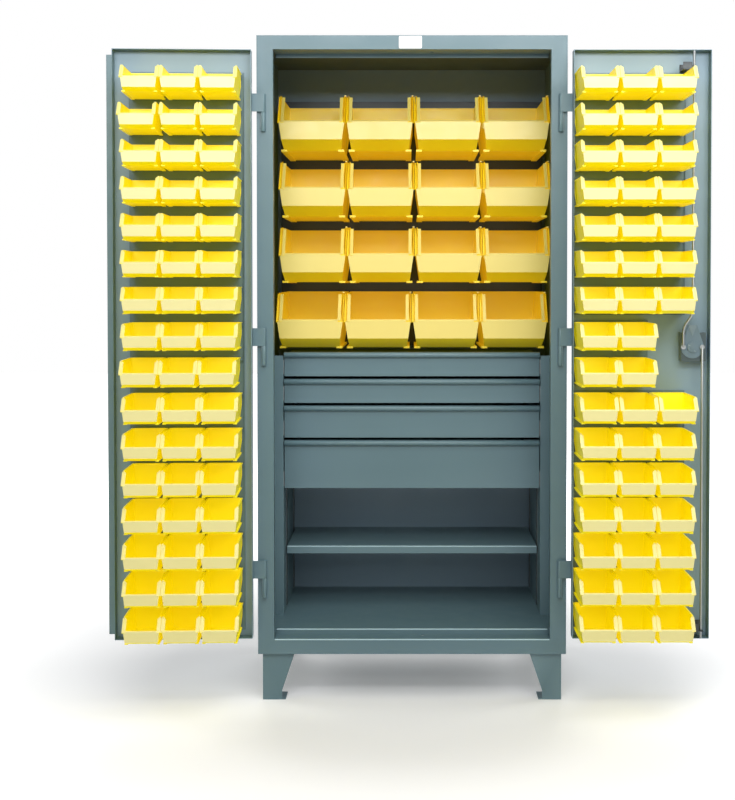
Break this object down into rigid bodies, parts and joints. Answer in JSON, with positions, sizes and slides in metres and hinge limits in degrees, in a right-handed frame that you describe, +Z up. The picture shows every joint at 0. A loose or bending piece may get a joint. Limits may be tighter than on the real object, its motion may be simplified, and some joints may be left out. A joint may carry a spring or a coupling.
{
  "type": "parts bin cabinet",
  "caption": "Welded steel storage cabinet with two swing-open doors, hopper bins hung on louvred panels, full-width drawers and an adjustable shelf, on four legs",
  "frame": {"origin": "on the ground, at the middle of the four anchor holes in the feet", "axes": "+Z up, +X to the right and +Y to the back of the cabinet, seen from the front"},
  "size_m": [1.7506, 0.8358, 1.9685],
  "materials": {
    "cabinet_paint": "blue-grey powder coat",
    "bin_plastic": "yellow moulded polypropylene",
    "zinc_steel": "bright zinc plate",
    "dark_steel": "black enamel"
  },
  "bodies": {
    "cabinet": {"front_frame": "cabinet_paint", "side_panel_left": "cabinet_paint", "side_panel_right": "cabinet_paint", "top_panel": "cabinet_paint", "back_panel": "cabinet_paint", "floor_pan": "cabinet_paint", "leg_front_left": "cabinet_paint", "leg_front_right": "cabinet_paint", "leg_back_left": "cabinet_paint", "leg_back_right": "cabinet_paint", "louvre_panel_back": "cabinet_paint", "back_bins_row_1": "bin_plastic", "back_bins_row_2": "bin_plastic", "back_bins_row_3": "bin_plastic", "back_bins_row_4": "bin_plastic", "housing_sides": "cabinet_paint", "housing_deck": "cabinet_paint", "shelf": "cabinet_paint", "shelf_standards": "zinc_steel", "shelf_clips": "zinc_steel", "slide_outer_members": "zinc_steel", "hinge_barrels": "cabinet_paint", "hinge_pins": "zinc_steel"},
    "left_door": {"left_door_pan": "cabinet_paint", "left_astragal": "cabinet_paint", "left_louvre_panel": "cabinet_paint", "left_hinge_leaves": "cabinet_paint", "left_bins_1": "bin_plastic", "left_bins_2": "bin_plastic", "left_bins_3": "bin_plastic", "left_bins_4": "bin_plastic"},
    "right_door": {"right_door_pan": "cabinet_paint", "right_louvre_upper": "cabinet_paint", "right_louvre_middle": "cabinet_paint", "right_louvre_lower": "cabinet_paint", "right_hinge_leaves": "cabinet_paint", "right_bins_upper": "bin_plastic", "right_bins_middle": "bin_plastic", "right_bins_lower": "bin_plastic", "latch_bracket": "cabinet_paint", "rod_guides": "dark_steel", "handle_escutcheon": "zinc_steel"},
    "latch_handle": {"handle_grip": "dark_steel", "latch_spindle": "zinc_steel", "latch_cam": "zinc_steel"},
    "upper_rod": {"upper_rod": "zinc_steel"},
    "lower_rod": {"lower_rod": "zinc_steel"},
    "drawer_1": {"drawer_1": "cabinet_paint", "slide_inner_1": "zinc_steel"},
    "slide_mid_1": {"slide_mid_1": "zinc_steel"},
    "drawer_2": {"drawer_2": "cabinet_paint", "slide_inner_2": "zinc_steel"},
    "slide_mid_2": {"slide_mid_2": "zinc_steel"},
    "drawer_3": {"drawer_3": "cabinet_paint", "slide_inner_3": "zinc_steel"},
    "slide_mid_3": {"slide_mid_3": "zinc_steel"},
    "drawer_4": {"drawer_4": "cabinet_paint", "slide_inner_4": "zinc_steel"},
    "slide_mid_4": {"slide_mid_4": "zinc_steel"}
  },
  "joints": [
    {"name": "left_door_swing", "type": "hinge", "parent": "cabinet", "child": "left_door", "pos_m": [-0.437, -0.3118, 1.1085], "axis": [0, 0, -1], "range_deg": [-177.5, 2.5]},
    {"name": "right_door_swing", "type": "hinge", "parent": "cabinet", "child": "right_door", "pos_m": [0.437, -0.3118, 1.1085], "axis": [0, 0, 1], "range_deg": [-180, 0]},
    {"name": "handle_turn", "type": "hinge", "parent": "right_door", "child": "latch_handle", "pos_m": [0.815, -0.3188, 1.055], "axis": [0, 1, 0], "range_deg": [0, 90]},
    {"name": "upper_rod_slide", "type": "slide", "parent": "right_door", "child": "upper_rod", "axis": [0, 0, 1], "range_m": [0, 0.0275]},
    {"name": "lower_rod_slide", "type": "slide", "parent": "right_door", "child": "lower_rod", "axis": [0, 0, -1], "range_m": [0, 0.0275]},
    {"name": "drawer_1_slide", "type": "slide", "parent": "cabinet", "child": "drawer_1", "axis": [0, -1, 0], "range_m": [0, 0.33]},
    {"name": "slide_mid_1_slide", "type": "slide", "parent": "cabinet", "child": "slide_mid_1", "axis": [0, -1, 0], "range_m": [0, 0.166]},
    {"name": "drawer_2_slide", "type": "slide", "parent": "cabinet", "child": "drawer_2", "axis": [0, -1, 0], "range_m": [0, 0.33]},
    {"name": "slide_mid_2_slide", "type": "slide", "parent": "cabinet", "child": "slide_mid_2", "axis": [0, -1, 0], "range_m": [0, 0.166]},
    {"name": "drawer_3_slide", "type": "slide", "parent": "cabinet", "child": "drawer_3", "axis": [0, -1, 0], "range_m": [0, 0.33]},
    {"name": "slide_mid_3_slide", "type": "slide", "parent": "cabinet", "child": "slide_mid_3", "axis": [0, -1, 0], "range_m": [0, 0.166]},
    {"name": "drawer_4_slide", "type": "slide", "parent": "cabinet", "child": "drawer_4", "axis": [0, -1, 0], "range_m": [0, 0.33]},
    {"name": "slide_mid_4_slide", "type": "slide", "parent": "cabinet", "child": "slide_mid_4", "axis": [0, -1, 0], "range_m": [0, 0.166]}
  ],
  "couplings": [
    {"joint": "upper_rod_slide", "follows": "handle_turn", "m_per_rad": 0.017443},
    {"joint": "lower_rod_slide", "follows": "handle_turn", "m_per_rad": 0.017443},
    {"joint": "slide_mid_1_slide", "follows": "drawer_1_slide", "ratio": 0.5},
    {"joint": "slide_mid_2_slide", "follows": "drawer_2_slide", "ratio": 0.5},
    {"joint": "slide_mid_3_slide", "follows": "drawer_3_slide", "ratio": 0.5},
    {"joint": "slide_mid_4_slide", "follows": "drawer_4_slide", "ratio": 0.5}
  ]
}
